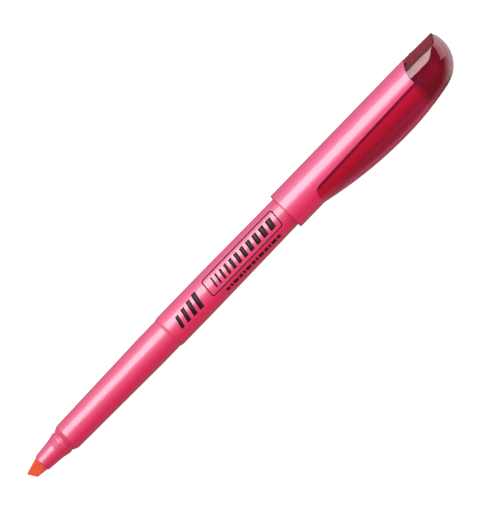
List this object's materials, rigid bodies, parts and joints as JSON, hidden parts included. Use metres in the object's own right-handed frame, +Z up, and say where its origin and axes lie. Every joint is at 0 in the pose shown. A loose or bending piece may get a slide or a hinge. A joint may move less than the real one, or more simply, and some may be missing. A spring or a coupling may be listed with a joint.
{
  "type": "capped highlighter",
  "caption": "Slim capped highlighter with a chisel nib, its cap posted on the tail; a translucent crown runs into a scooped pocket clip.",
  "frame": {"origin": "on the pen's axis, where the cap-stop shoulder meets the front edge of the barrel's full-width land", "axes": "-X towards the nib, +X towards the cap's crown, -Y towards the pocket clip, +Z up when the pen lies on its side"},
  "size_m": [0.1567, 0.0148, 0.0126],
  "materials": {
    "pink_plastic": "glossy opaque moulding",
    "ruby_plastic": "glossy translucent moulding",
    "nib_fibre": "bonded fibre soaked with ink",
    "store_fibre": "bonded fibre soaked with ink",
    "film": "thin clear film",
    "natural_plastic": "soft unpigmented moulding"
  },
  "bodies": {
    "barrel": {"barrel": "pink_plastic", "nose_cone": "pink_plastic", "nib": "nib_fibre", "ink_reservoir": "store_fibre", "reservoir_film": "film", "tail_plug": "pink_plastic"},
    "liner": {"cap_liner": "natural_plastic"},
    "cap": {"cap_sleeve": "pink_plastic", "cap_crown": "ruby_plastic"},
    "clip": {"clip": "ruby_plastic"}
  },
  "joints": [
    {"name": "cap_pull", "type": "slide", "parent": "barrel", "child": "liner", "axis": [1, 0, 0], "range_m": [0, 0.04]},
    {"name": "cap_twist", "type": "hinge", "parent": "liner", "child": "cap", "pos_m": [0.06, 0, 0], "axis": [1, 0, 0], "continuous": true},
    {"name": "clip_flex", "type": "hinge", "parent": "cap", "child": "clip", "pos_m": [0.09, -0.00837, 0], "axis": [0, 0, 1], "range_deg": [0, 5], "stiffness_Nm_per_rad": 0.15}
  ]
}
